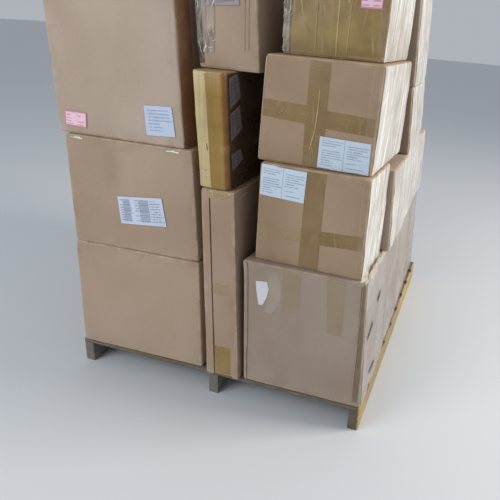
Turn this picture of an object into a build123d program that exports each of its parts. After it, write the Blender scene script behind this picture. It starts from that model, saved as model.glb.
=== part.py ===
from build123d import *
from math import cos, radians, sin
import os

os.makedirs("parts", exist_ok=True)

# Millimetres. X runs right along the front, Y to the back, Z up from the floor.
# The origin is the middle of the pallet's underside.

# Pallet
pallet_width = 1000
pallet_depth = 1200
stringer_width = 34
stringer_height = 73
stringer_wear = 2
deck_board_width = 98
deck_board_thickness = 13
deck_board_count = 9
deck_edge_wear = 1.5
deck_top = stringer_height + deck_board_thickness

# Corrugated board and the marks that its folds and flaps leave
board = 6
corner_wear = 3
seam_width = 2.5
seam_depth = 2
flap_shortfall = 1.5

# Gap left between one carton and the next behind it
row_gap = 5

# Middle column. A lean moves a carton's top sideways, and a taper narrows it from the right,
# or widens it where it is less than nothing.
slim_centre = 40
slim_width = 111
slim_height = 627
slim_depth = 592
slim_overhang = 14
slim_lean = -9
slim_taper = 9
slim_flap_margin = 26
slim_hem = 20
slim_hem_lift = 10
taped_centre = 13
taped_width = 96
taped_height = 317
taped_depth = 290
taped_gap = 9
taped_setback = 4
taped_lean = -17
taped_taper = -5
taped_left_bevel = 43
taped_left_bevel_depth = 8
taped_right_bevel = 9
taped_right_bevel_depth = 16
taped_count = 4
cap_centre = 25
cap_width = 177
cap_height = 270
cap_depth = 550
cap_setback = 60
cap_lean = -15
cap_taper = 2

# Left column, two rows deep. Its gaps are to the middle column, and a turn of less than
# nothing takes the right corner back.
left_lower_gap = 18
left_lower_width = 451
left_lower_height = 379
left_lower_depth = 585
left_lower_setback = 0
left_lower_lean = 8
left_lower_taper = 12
left_lower_turn = -1
left_middle_gap = 15
left_middle_width = 431
left_middle_height = 342
left_middle_depth = 570
left_middle_setback = 3
left_middle_lean = 2
left_middle_taper = 16
left_middle_turn = -2
left_upper_gap = 12
left_upper_width = 411
left_upper_height = 470
left_upper_depth = 580
left_upper_setback = 11
left_upper_lean = -12
left_upper_taper = 11
left_upper_turn = -1.2

# Right column, front row. Its gaps are to the middle column.
right_lower_gap = 8
right_lower_width = 390
right_lower_height = 424
right_lower_depth = 350
right_lower_setback = 0
right_lower_lean = -5
right_lower_taper = 19
lap_margin = 14
right_second_gap = 32
right_second_width = 328
right_second_height = 294
right_second_depth = 228
right_second_setback = 18
right_second_lean = 10
right_second_taper = 11
right_second_turn = 2
right_third_gap = 6
right_third_width = 328
right_third_height = 280
right_third_depth = 370
right_third_setback = 37
right_third_lean = 17
right_third_taper = 10
right_third_turn = 2
right_top_gap = 46
right_top_width = 278
right_top_height = 255
right_top_depth = 340
right_top_setback = 91
right_top_lean = 4
right_top_taper = 3
right_top_turn = 1.5

# Right column, the rows behind. Each row is narrower than the one before it by a step.
back_lower_depth = 274
back_lower_count = 3
back_lower_step = 5
back_second_gap = 36
back_second_width = 358
back_second_height = 265
back_second_depth = 280
back_second_taper = 11
back_second_count = 3
back_second_step = 6
back_third_gap = 28
back_third_width = 338
back_third_height = 225
back_third_depth = 265
back_third_taper = 15
back_third_clearance = 95
back_third_step = 25
back_top_gap = 56
back_top_width = 300
back_top_height = 300
back_top_depth = 265
back_top_taper = 16
back_top_clearance = 69
back_top_step = 28
back_upper_count = 2

# Stretch film
film_thickness = 0.8
film_clearance = 0.3
film_end_margin = 12
film_edge_margin = 4
film_corner_lap = 110

front = -pallet_depth / 2
left_side = -pallet_width / 2
right_side = pallet_width / 2


def finish(block, name):
    block.part.label = name
    export_step(block.part, f"parts/{name}.step")


def upright_edges(block):
    # The corners of a carton run from its base to its top, whatever it leans.
    return [edge for edge in block.edges() if abs((edge @ 1 - edge @ 0).Z) > board]


def reach(centre, width, lean, taper):
    # How far left and right a carton comes, at its base or at its top.
    left = centre - width / 2
    right = centre + width / 2
    return min(left, left + lean), max(right, right + lean - taper)


def depth_taken(width, depth, turn):
    # What a turned carton takes up behind the middle of its front edge.
    return depth * cos(radians(turn)) + width / 2 * sin(radians(abs(turn)))


def carton(name, x, y, z, width, depth, height, lean=0, taper=0, turn=0, lap=0):
    # x and y are the middle of the front edge of the base, and z is its underside. A turn
    # brings the right corner forward. A lap is the margin of the joint that closes the
    # carton's wall, seen as a line down its front.
    base = Plane((x, y, z)).rotated((0, 0, -turn))
    top = Plane((x + lean - taper / 2, y, z + height)).rotated((0, 0, -turn))
    with BuildPart() as box:
        with BuildSketch(base):
            Rectangle(width, depth, align=(Align.CENTER, Align.MIN))
        with BuildSketch(top):
            Rectangle(width - taper, depth, align=(Align.CENTER, Align.MIN))
        loft(ruled=True)
        chamfer(upright_edges(box), corner_wear)
        # The long outer flaps meet on the middle line, and stop a little short of both ends,
        # which shows their cut edge one board thick.
        for plane, inward in ((base, 1), (top, -1)):
            with BuildSketch(plane):
                Rectangle(seam_width, depth, align=(Align.CENTER, Align.MIN))
            extrude(amount=inward * seam_depth, mode=Mode.SUBTRACT)
            with BuildSketch(plane):
                with Locations((0, 0), (0, depth)):
                    Rectangle(width * 2, flap_shortfall * 2)
            extrude(amount=inward * board, mode=Mode.SUBTRACT)
        if lap:
            with BuildSketch(base):
                with Locations((lap - width / 2, 0)):
                    Rectangle(seam_width, seam_depth * 2)
            extrude(amount=height, mode=Mode.SUBTRACT)
    finish(box, name)


# Stringers, on edge and running from front to back
stringer_places = {
    "stringer_left": left_side + stringer_width / 2,
    "stringer_centre": 0,
    "stringer_right": right_side - stringer_width / 2,
}
for name, x in stringer_places.items():
    with BuildPart() as stringer:
        with BuildSketch(Plane.XY):
            with Locations((x, 0)):
                Rectangle(stringer_width, pallet_depth)
        extrude(amount=stringer_height)
        chamfer(stringer.edges().filter_by(Axis.X).group_by(Axis.Z)[0], stringer_wear)
    finish(stringer, name)

# Deck boards, nailed across the stringers with even gaps
deck_pitch = (pallet_depth - deck_board_width) / (deck_board_count - 1)
for index in range(deck_board_count):
    with BuildPart() as deck_board:
        with BuildSketch(Plane.XY.offset(stringer_height)):
            with Locations((0, front + deck_board_width / 2 + index * deck_pitch)):
                Rectangle(pallet_width, deck_board_width)
        extrude(amount=deck_board_thickness)
        chamfer(deck_board.edges().filter_by(Axis.X).group_by(Axis.Z)[-1], deck_edge_wear)
    finish(deck_board, f"deck_board_{index + 1}")

# Levels and sides of the middle column, which the other two stand off
slim_top = deck_top + slim_height
taped_top = slim_top + taped_height
slim_left, slim_right = reach(slim_centre, slim_width, slim_lean, slim_taper)
taped_left, taped_right = reach(taped_centre, taped_width, taped_lean, taped_taper)
cap_left, cap_right = reach(cap_centre, cap_width, cap_lean, cap_taper)

# Slim upright cartons. The end flap is a panel of its own: a slit parts it from the wall on
# its left, and its foot stops short of the base, except for a narrow hem on its right.
slim_rows = {"front": front - slim_overhang}
slim_rows["rear"] = slim_rows["front"] + slim_depth + row_gap
slim_head = slim_centre + slim_lean - slim_taper / 2
slit_foot = slim_centre - slim_width / 2 + slim_flap_margin
hem_foot = slim_centre + slim_width / 2 - slim_hem
for row, y in slim_rows.items():
    with BuildPart() as slim:
        with BuildSketch(Plane.XY.offset(deck_top)):
            with Locations((slim_centre, y)):
                Rectangle(slim_width, slim_depth, align=(Align.CENTER, Align.MIN))
        with BuildSketch(Plane.XY.offset(slim_top)):
            with Locations((slim_head, y)):
                Rectangle(slim_width - slim_taper, slim_depth, align=(Align.CENTER, Align.MIN))
        loft(ruled=True)
        chamfer(upright_edges(slim), corner_wear / 2)
        with BuildSketch(Plane.XZ.offset(-y)):
            with BuildLine():
                Polyline(
                    (slit_foot, deck_top),
                    (slit_foot + seam_width, deck_top),
                    (slit_foot + seam_width + slim_lean, slim_top),
                    (slit_foot + slim_lean, slim_top),
                    close=True,
                )
            make_face()
            with Locations(((slit_foot + hem_foot) / 2, deck_top)):
                Rectangle(hem_foot - slit_foot, slim_hem_lift * 2)
        extrude(amount=-board, mode=Mode.SUBTRACT)
    finish(slim, f"carton_slim_{row}")

# Narrow cartons wound in tape, which draws their front corners into broad bevels
for index in range(taped_count):
    y = slim_rows["front"] + taped_setback + index * (taped_depth + taped_gap)
    with BuildPart() as taped:
        for level, lean, taper in ((slim_top, 0, 0), (taped_top, taped_lean, taped_taper)):
            near_left = taped_centre + lean - taped_width / 2
            near_right = near_left + taped_width - taper
            with BuildSketch(Plane.XY.offset(level)):
                with BuildLine():
                    Polyline(
                        (near_left + taped_left_bevel, y),
                        (near_right - taped_right_bevel, y),
                        (near_right, y + taped_right_bevel_depth),
                        (near_right, y + taped_depth),
                        (near_left, y + taped_depth),
                        (near_left, y + taped_left_bevel_depth),
                        close=True,
                    )
                make_face()
        loft(ruled=True)
    finish(taped, f"carton_taped_{index + 1}")

# Cartons on top of the middle column
for row, y in (("front", front + cap_setback), ("rear", front + cap_setback + cap_depth + row_gap)):
    carton(
        f"carton_cap_{row}", cap_centre, y, taped_top, cap_width, cap_depth, cap_height,
        lean=cap_lean, taper=cap_taper,
    )


def left_pair(layer, neighbour, base, width, depth, height, setback, lean, taper, turn):
    # A front carton as it was stacked, and a square one behind it that clears its corner.
    # Both keep their right side off the neighbour. The rear face is given back.
    x = neighbour - width / 2 - max(0, lean - taper)
    y = front + setback
    carton(f"carton_left_{layer}_front", x, y, base, width, depth, height, lean, taper, turn)
    y += depth_taken(width, depth, turn) + row_gap
    carton(f"carton_left_{layer}_rear", x, y, base, width, depth, height)
    return x - width / 2, y + depth


# Left column: three layers
left_middle_base = deck_top + left_lower_height
left_upper_base = left_middle_base + left_middle_height
left_lower_edge, left_lower_rear = left_pair(
    "lower", slim_left - left_lower_gap, deck_top,
    left_lower_width, left_lower_depth, left_lower_height,
    left_lower_setback, left_lower_lean, left_lower_taper, left_lower_turn,
)
left_middle_edge, left_middle_rear = left_pair(
    "middle", min(slim_left, taped_centre - taped_width / 2) - left_middle_gap, left_middle_base,
    left_middle_width, left_middle_depth, left_middle_height,
    left_middle_setback, left_middle_lean, left_middle_taper, left_middle_turn,
)
left_pair(
    "upper", min(taped_left, cap_left) - left_upper_gap, left_upper_base,
    left_upper_width, left_upper_depth, left_upper_height,
    left_upper_setback, left_upper_lean, left_upper_taper, left_upper_turn,
)

# Right column, front row
second_base = deck_top + right_lower_height
third_base = second_base + right_second_height
top_base = third_base + right_third_height
lower_x = slim_right + right_lower_gap + right_lower_width / 2 - right_lower_lean
lower_front = front + right_lower_setback
carton(
    "carton_right_lower", lower_x, lower_front, deck_top,
    right_lower_width, right_lower_depth, right_lower_height,
    right_lower_lean, right_lower_taper, lap=lap_margin,
)
second_side = max(slim_right, taped_right)
second_front = front + right_second_setback
carton(
    "carton_right_second", second_side + right_second_gap + right_second_width / 2,
    second_front, second_base,
    right_second_width, right_second_depth, right_second_height,
    right_second_lean, right_second_taper, right_second_turn,
)
upper_side = max(taped_right, cap_right)
third_front = front + right_third_setback
carton(
    "carton_right_third", upper_side + right_third_gap + right_third_width / 2,
    third_front, third_base,
    right_third_width, right_third_depth, right_third_height,
    right_third_lean, right_third_taper, right_third_turn,
)
top_front = front + right_top_setback
carton(
    "carton_right_top", upper_side + right_top_gap + right_top_width / 2,
    top_front, top_base,
    right_top_width, right_top_depth, right_top_height,
    right_top_lean, right_top_taper, right_top_turn,
)


def back_row(layer, left, first, base, width, depth, height, lean, taper, count, step):
    # Cartons one behind the other, with their left sides in line
    for index in range(count):
        narrowed = width - index * step
        carton(
            f"carton_back_{layer}_{index + 1}", left + narrowed / 2,
            first + index * (depth + row_gap), base,
            narrowed, depth, height, lean, taper,
        )


# Right column, the rows behind
back_lower_front = lower_front + right_lower_depth + row_gap
back_row(
    "lower", lower_x - right_lower_width / 2, back_lower_front, deck_top,
    right_lower_width - back_lower_step, back_lower_depth, right_lower_height,
    right_lower_lean, right_lower_taper, back_lower_count, back_lower_step,
)
second_depth_taken = depth_taken(right_second_width, right_second_depth, right_second_turn)
back_row(
    "second", second_side + back_second_gap, second_front + second_depth_taken + row_gap,
    second_base, back_second_width, back_second_depth, back_second_height,
    0, back_second_taper, back_second_count, back_second_step,
)
back_third_base = second_base + back_second_height
third_depth_taken = depth_taken(right_third_width, right_third_depth, right_third_turn)
back_row(
    "third", upper_side + back_third_gap,
    third_front + third_depth_taken + back_third_clearance,
    back_third_base, back_third_width, back_third_depth, back_third_height,
    0, back_third_taper, back_upper_count, back_third_step,
)
back_top_base = back_third_base + back_third_height
top_depth_taken = depth_taken(right_top_width, right_top_depth, right_top_turn)
back_row(
    "top", upper_side + back_top_gap, top_front + top_depth_taken + back_top_clearance,
    back_top_base, back_top_width, back_top_depth, back_top_height,
    0, back_top_taper, back_upper_count, back_top_step,
)

# The first turn of stretch film, along the right side and across the back of the bottom
# layer. It is drawn tight from corner to corner, and laps round the last one.
film_base = deck_top + film_edge_margin
film_top = second_base - film_edge_margin
lower_rear = lower_front + right_lower_depth
back_lower_rear = back_lower_front + back_lower_count * (back_lower_depth + row_gap) - row_gap
slim_rear = slim_rows["rear"] + slim_depth
inner_rear = max(back_lower_rear, left_lower_rear, left_middle_rear, slim_rear) + film_clearance
outer_rear = inner_rear + film_thickness
inner_left = min(left_lower_edge, left_middle_edge) - film_clearance
outer_left = inner_left - film_thickness
lap_end = left_lower_rear - film_corner_lap
with BuildPart() as film:
    for level in (film_base, film_top):
        rise = (level - deck_top) / right_lower_height
        slope = (right_lower_lean - right_lower_taper) * rise
        near_right = lower_x + right_lower_width / 2 + slope + film_clearance
        far_right = near_right - back_lower_count * back_lower_step
        with BuildSketch(Plane.XY.offset(level)):
            with BuildLine():
                Polyline(
                    (near_right, lower_front + film_end_margin),
                    (near_right, lower_rear),
                    (far_right, inner_rear),
                    (inner_left, inner_rear),
                    (inner_left, lap_end),
                    (outer_left, lap_end),
                    (outer_left, outer_rear),
                    (far_right + film_thickness, outer_rear),
                    (near_right + film_thickness, lower_rear),
                    (near_right + film_thickness, lower_front + film_end_margin),
                    close=True,
                )
            make_face()
    loft(ruled=True)
finish(film, "stretch_film")
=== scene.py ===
import bpy
import math
import random
from mathutils import Matrix, Vector, noise as creaseNoise


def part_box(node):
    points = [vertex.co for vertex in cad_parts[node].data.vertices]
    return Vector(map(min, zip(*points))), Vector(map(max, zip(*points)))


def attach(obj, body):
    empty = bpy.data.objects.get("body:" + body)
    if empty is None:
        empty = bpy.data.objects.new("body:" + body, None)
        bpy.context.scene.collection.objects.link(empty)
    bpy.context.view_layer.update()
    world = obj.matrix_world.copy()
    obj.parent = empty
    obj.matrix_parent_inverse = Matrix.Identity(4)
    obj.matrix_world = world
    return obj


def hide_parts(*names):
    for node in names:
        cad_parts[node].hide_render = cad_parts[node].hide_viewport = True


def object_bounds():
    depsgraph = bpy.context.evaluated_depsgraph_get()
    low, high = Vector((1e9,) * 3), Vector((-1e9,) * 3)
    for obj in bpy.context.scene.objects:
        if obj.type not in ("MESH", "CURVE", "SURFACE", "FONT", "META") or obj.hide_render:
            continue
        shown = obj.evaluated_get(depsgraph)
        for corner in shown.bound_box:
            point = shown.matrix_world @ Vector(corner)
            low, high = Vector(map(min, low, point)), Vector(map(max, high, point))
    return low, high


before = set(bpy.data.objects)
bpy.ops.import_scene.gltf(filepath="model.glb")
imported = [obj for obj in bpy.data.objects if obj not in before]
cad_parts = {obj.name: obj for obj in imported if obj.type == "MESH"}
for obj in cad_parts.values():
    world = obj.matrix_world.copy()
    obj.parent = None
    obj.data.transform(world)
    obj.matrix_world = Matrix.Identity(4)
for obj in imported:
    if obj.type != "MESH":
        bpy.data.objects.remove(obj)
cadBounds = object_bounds()
print("frame loaded,", len(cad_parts), "nodes")


# Selecting and shaping, as by hand in edit mode
def clearSelection():
    if bpy.context.object and bpy.context.object.mode != "OBJECT":
        bpy.ops.object.mode_set(mode="OBJECT")
    bpy.ops.object.select_all(action="DESELECT")


def workOn(piece):
    clearSelection()
    piece.select_set(True)
    bpy.context.view_layer.objects.active = piece


def pick(piece, kind, test):
    # leaves edit mode on, with the faces, edges or vertices that pass the test selected
    workOn(piece)
    bpy.ops.object.mode_set(mode="EDIT")
    bpy.ops.mesh.select_mode(type=kind)
    bpy.ops.mesh.select_all(action="DESELECT")
    bpy.ops.object.mode_set(mode="OBJECT")
    mesh = piece.data
    for item in {"FACE": mesh.polygons, "EDGE": mesh.edges, "VERT": mesh.vertices}[kind]:
        item.select = test(item)
    bpy.ops.object.mode_set(mode="EDIT")


def startFrom(addMesh, size, name):
    clearSelection()
    addMesh(size=size)
    piece = bpy.context.object
    piece.name = name
    return piece


def pickAll(piece):
    workOn(piece)
    bpy.ops.object.mode_set(mode="EDIT")
    bpy.ops.mesh.select_all(action="SELECT")


def cutAcross(piece, axis, places):
    # new edge loops where a plane across the axis meets the piece
    for place in places:
        pickAll(piece)
        spot = [0, 0, 0]
        normal = [0, 0, 0]
        spot[axis] = place
        normal[axis] = 1
        bpy.ops.mesh.bisect(plane_co=spot, plane_no=normal)
    bpy.ops.object.mode_set(mode="OBJECT")


def shift(piece, kind, test, offset, extrude=False):
    pick(piece, kind, test)
    if extrude:
        bpy.ops.mesh.extrude_region_move(TRANSFORM_OT_translate={"value": offset})
    else:
        bpy.ops.transform.translate(value=offset)
    bpy.ops.object.mode_set(mode="OBJECT")


def applyModifier(piece, kind, **values):
    workOn(piece)
    bpy.ops.object.modifier_add(type=kind)
    modifier = piece.modifiers[-1]
    for key, value in values.items():
        setattr(modifier, key, value)
    bpy.ops.object.modifier_apply(modifier=modifier.name)


def cloudTexture(name, size):
    texture = bpy.data.textures.new(name, type="CLOUDS")
    texture.noise_scale = size
    return texture


def dent(piece, texture, strength, level, group=""):
    applyModifier(
        piece, "DISPLACE", texture=texture, texture_coords="GLOBAL", strength=strength, mid_level=level,
        vertex_group=group,
    )


def roundEdges(piece, values, **limit):
    applyModifier(piece, "BEVEL", width=values["rounding"], segments=values["roundingSteps"], **limit)


def settle(piece, material, slotName, *nodes, angle=35):
    # gives a finished piece its material and its place in the frame
    piece.data.materials.clear()
    piece.data.materials.append(material)
    workOn(piece)
    bpy.ops.object.shade_smooth_by_angle(angle=math.radians(angle))
    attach(piece, "root")
    if nodes:
        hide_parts(*nodes)


# Material nodes: each helper adds to the tree that newGroup or newMaterial has begun
begun = {}


def addNode(kind, inputs=None, **settings):
    node = begun["tree"].nodes.new(kind)
    for key, value in settings.items():
        setattr(node, key, value)
    for key, value in (inputs or {}).items():
        feed(value, node.inputs[key])
    return node


def feed(value, socket):
    if isinstance(value, bpy.types.NodeSocket):
        begun["tree"].links.new(value, socket)
    else:
        socket.default_value = value


def calc(operation, first, second=0.0, third=0.0):
    inputs = {0: first, 1: second, 2: third}
    return addNode("ShaderNodeMath", inputs, operation=operation).outputs[0]


def vectorMath(operation, first, second):
    return addNode("ShaderNodeVectorMath", {0: first, 1: second}, operation=operation).outputs[0]


def times(*parts):
    product = parts[0]
    for part in parts[1:]:
        product = calc("MULTIPLY", product, part)
    return product


def spread(value, low, high, start=0.0, end=1.0):
    inputs = {"Value": value, "From Min": low, "From Max": high, "To Min": start, "To Max": end}
    return addNode("ShaderNodeMapRange", inputs, interpolation_type="SMOOTHSTEP").outputs[0]


def colour(red, green, blue):
    # a colour as a picture shows it, 0 to 255, made linear for the shader
    def linear(part):
        part /= 255
        return part / 12.92 if part <= 0.04045 else ((part + 0.055) / 1.055) ** 2.4
    return (linear(red), linear(green), linear(blue), 1.0)


def blend(share, first, second, mode="MIX"):
    # mixes two tones, each of them a socket or a colour of 0 to 255
    node = addNode("ShaderNodeMix", data_type="RGBA", blend_type=mode)
    for place, value in ((0, share), (6, first), (7, second)):
        feed(colour(*value) if isinstance(value, tuple) else value, node.inputs[place])
    return node.outputs[2]


def scaled(vector, scale, turn=(0, 0, 0)):
    inputs = {"Vector": vector, "Scale": scale, "Rotation": turn}
    return addNode("ShaderNodeMapping", inputs).outputs[0]


def noise(vector, scale, detail=3.0, roughness=0.55, distortion=0.0):
    inputs = {
        "Vector": vector, "Scale": scale, "Detail": detail,
        "Roughness": roughness, "Distortion": distortion,
    }
    return addNode("ShaderNodeTexNoise", inputs).outputs[0]


def placeOf():
    return addNode("ShaderNodeTexCoord").outputs["Object"]


def mapOf(name):
    return addNode("ShaderNodeUVMap", uv_map=name).outputs[0]


def markOf(name):
    return addNode("ShaderNodeAttribute", attribute_name=name).outputs


def splitUp(vector):
    return addNode("ShaderNodeSeparateXYZ", {0: vector}).outputs


def bumpOn(shader, height, strength, distance):
    bump = addNode("ShaderNodeBump", {"Height": height, "Strength": strength, "Distance": distance})
    feed(bump.outputs[0], shader.inputs["Normal"])


def newGroup(name, inputs, outputs):
    # sockets are given as (name, type, default)
    group = begun["tree"] = bpy.data.node_groups.new(name, "ShaderNodeTree")
    for socketName, kind, value in inputs:
        socket = group.interface.new_socket(socketName, in_out="INPUT", socket_type=kind)
        if value is not None:
            socket.default_value = value
    for socketName, kind in outputs:
        group.interface.new_socket(socketName, in_out="OUTPUT", socket_type=kind)
    return group, group.nodes.new("NodeGroupInput").outputs, group.nodes.new("NodeGroupOutput")


def useGroup(group, inputs):
    return addNode("ShaderNodeGroup", inputs, node_tree=group).outputs


def newMaterial(name, **plain):
    material = bpy.data.materials.new(name)
    material.use_nodes = True
    begun["tree"] = material.node_tree
    shader = material.node_tree.nodes["Principled BSDF"]
    for key, value in plain.items():
        shader.inputs[key].default_value = value
    return material, shader


floatSocket, vectorSocket = "NodeSocketFloat", "NodeSocketVector"
flutePitch = 0.0075
rimShape = {"width": 0.005, "grime": 0.05, "foldPlace": 0.009, "foldWidth": 0.003}


def buildFibreGroup():
    # paper fibre and the faint ribs of the flutes under the liner
    group, given, out = newGroup(
        "paperFibre",
        [("Place", vectorSocket, None), ("Panel", vectorSocket, None),
         ("Flute", floatSocket, flutePitch), ("Rib", floatSocket, 0.3)],
        [("Tone", floatSocket), ("Height", floatSocket)],
    )
    fine = noise(given["Place"], 420, 4)
    strand = noise(scaled(given["Panel"], (900, 90, 1)), 1.0, 3)
    turns = calc("DIVIDE", times(splitUp(given["Panel"])[0], math.tau), given["Flute"])
    patchy = spread(noise(given["Place"], 9, 2), 0.35, 0.7)
    rib = times(calc("SINE", turns), patchy, given["Rib"])
    paper = calc("ADD", times(fine, 0.5), times(strand, 0.5))
    feed(calc("MULTIPLY_ADD", rib, 0.1, paper), out.inputs["Tone"])
    feed(calc("MULTIPLY_ADD", rib, 0.5, times(paper, 0.5)), out.inputs["Height"])
    return group


def buildWearGroup():
    # rubbed rims, paler as wear and as a painted highlight along the edge: strongest at a panel's edge,
    # broken up by noise, with grime lower down
    group, given, out = newGroup(
        "rimWearAndHighlight",
        [("Place", vectorSocket, None), ("Rim", vectorSocket, None),
         ("Width", floatSocket, rimShape["width"])],
        [("RubAndHighlight", floatSocket), ("Grime", floatSocket), ("Fold", floatSocket)],
    )
    parts = splitUp(given["Rim"])
    nearest = calc("MINIMUM", parts[0], parts[1])
    patches = noise(given["Place"], 24, 5, 0.6)
    reach = times(given["Width"], spread(patches, 0.38, 0.72, 0.15, 2.0))
    rubAndHighlight = calc("SUBTRACT", 1.0, calc("DIVIDE", nearest, reach))
    feed(addNode("ShaderNodeClamp", {0: rubAndHighlight}).outputs[0], out.inputs["RubAndHighlight"])
    near = spread(nearest, 0.0, rimShape["grime"], 1.0, 0.0)
    dirt = spread(noise(given["Place"], 13, 4, 0.6, 0.8), 0.45, 0.75)
    feed(times(near, dirt), out.inputs["Grime"])
    line = calc("ABSOLUTE", calc("SUBTRACT", nearest, rimShape["foldPlace"]))
    line = times(spread(line, 0.0, rimShape["foldWidth"], 1.0, 0.0), spread(patches, 0.45, 0.65))
    feed(line, out.inputs["Fold"])
    return group


def buildScuffGroup():
    # pale scratches that run mostly one way, few and broken
    group, given, out = newGroup(
        "dryScuffs",
        [("Place", vectorSocket, None), ("Panel", vectorSocket, None), ("Amount", floatSocket, 0.5)],
        [("Mask", floatSocket)],
    )
    masks = []
    for turn, stretch in ((0.5, (16, 300, 1)), (-0.9, (26, 420, 1)), (1.35, (9, 260, 1))):
        streak = noise(scaled(given["Panel"], stretch, (0, 0, turn)), 1.0, 2)
        masks.append(spread(streak, 0.7, 0.78))
    scratch = calc("MAXIMUM", calc("MAXIMUM", masks[0], masks[1]), masks[2])
    where = spread(noise(given["Place"], 5, 3), 0.5, 0.7)
    feed(times(scratch, where, given["Amount"]), out.inputs["Mask"])
    return group


def buildCrinkleGroup():
    # tight creases in film and tape: flat facets that meet in sharp lines, drawn out along one way
    group, given, out = newGroup(
        "filmCrinkle",
        [("Place", vectorSocket, None), ("Stretch", vectorSocket, (1, 1, 1)),
         ("Size", floatSocket, 30.0)],
        [("Height", floatSocket), ("Ridge", floatSocket)],
    )
    drawn = vectorMath("MULTIPLY", given["Place"], given["Stretch"])
    sway = noise(drawn, given["Size"], 2.0, 0.5).node.outputs["Color"]
    bent = vectorMath("ADD", drawn, vectorMath("MULTIPLY", sway, (0.012, 0.012, 0.012)))
    facets = {"Vector": bent, "Scale": given["Size"]}
    edge = addNode("ShaderNodeTexVoronoi", facets, feature="DISTANCE_TO_EDGE").outputs[0]
    cone = addNode("ShaderNodeTexVoronoi", facets, feature="F1").outputs[0]
    fine = noise(bent, given["Size"], 5.0, 0.5)
    feed(spread(edge, 0.0, 0.05, 1.0, 0.0), out.inputs["Ridge"])
    feed(calc("MULTIPLY_ADD", fine, 0.8, cone), out.inputs["Height"])
    return group


fibreGroup = buildFibreGroup()
wearGroup = buildWearGroup()
scuffGroup = buildScuffGroup()
crinkleGroup = buildCrinkleGroup()

kraftParts = ("light", "dark", "stain", "rubAndHighlight", "rib", "roughness")
kraftFinish = {
    "plain": ((174, 152, 132), (161, 139, 118), (136, 113, 90), (208, 188, 160), 0.5, 0.78),
    "dusty": ((183, 165, 149), (171, 152, 134), (148, 128, 108), (212, 196, 174), 0.4, 0.84),
    "brown": ((166, 141, 116), (150, 126, 101), (126, 102, 76), (208, 188, 154), 0.5, 0.72),
    "grey": ((164, 147, 133), (150, 132, 117), (126, 108, 94), (200, 182, 152), 0.3, 0.8),
    "rosy": ((172, 149, 132), (158, 134, 112), (132, 108, 84), (206, 186, 156), 0.25, 0.7),
}


def kraftMaterial(name, values):
    material, shader = newMaterial(name, Roughness=values["roughness"], **{"Specular IOR Level": 0.28})
    place = placeOf()
    panel = mapOf("panel")
    rim = mapOf("rim")
    cut = markOf("cutEdge")["Fac"]
    fibre = useGroup(fibreGroup, {"Place": place, "Panel": panel, "Rib": values["rib"]})
    wear = useGroup(wearGroup, {"Place": place, "Rim": rim})
    scuff = useGroup(scuffGroup, {"Place": place, "Panel": panel, "Amount": 0.3})
    drift = noise(place, 2.6, 3, 0.5, 0.6)
    board = blend(spread(drift, 0.3, 0.7), values["light"], values["dark"])
    smudge = spread(noise(scaled(place, (1, 1, 0.4)), 9, 5, 0.6), 0.56, 0.82, 0.0, 0.28)
    board = blend(smudge, board, values["stain"])
    board = blend(times(wear["Grime"], 0.45), board, values["stain"])
    grain = spread(fibre["Tone"], 0.3, 0.75, 0.92, 1.07)
    board = blend(1.0, board, grain, "MULTIPLY")
    # the rims are lightened as rubbed wear and as a painted highlight along each edge
    rubAndHighlight = times(wear["RubAndHighlight"], 0.55)
    rubAndHighlight = calc("MAXIMUM", rubAndHighlight, times(wear["Fold"], 0.18))
    rubAndHighlight = calc("MAXIMUM", rubAndHighlight, scuff["Mask"])
    board = blend(rubAndHighlight, board, values["rubAndHighlight"])
    # the cut end of a flap shows the flutes
    flute = calc("SINE", times(splitUp(panel)[0], math.tau / flutePitch))
    flute = blend(spread(flute, -0.4, 0.7), values["stain"], values["rubAndHighlight"])
    board = blend(times(cut, 0.14), board, flute)
    feed(board, shader.inputs["Base Color"])
    height = calc("MULTIPLY_ADD", wear["Fold"], -0.5, fibre["Height"])
    height = calc("MULTIPLY_ADD", noise(place, 14, 4), 2.4, height)
    bumpOn(shader, height, 0.4, 0.0014)
    return material


kraft = {}
for key, row in kraftFinish.items():
    kraft[key] = kraftMaterial(key + "Kraft", dict(zip(kraftParts, row)))
print("kraft finishes built")


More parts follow.
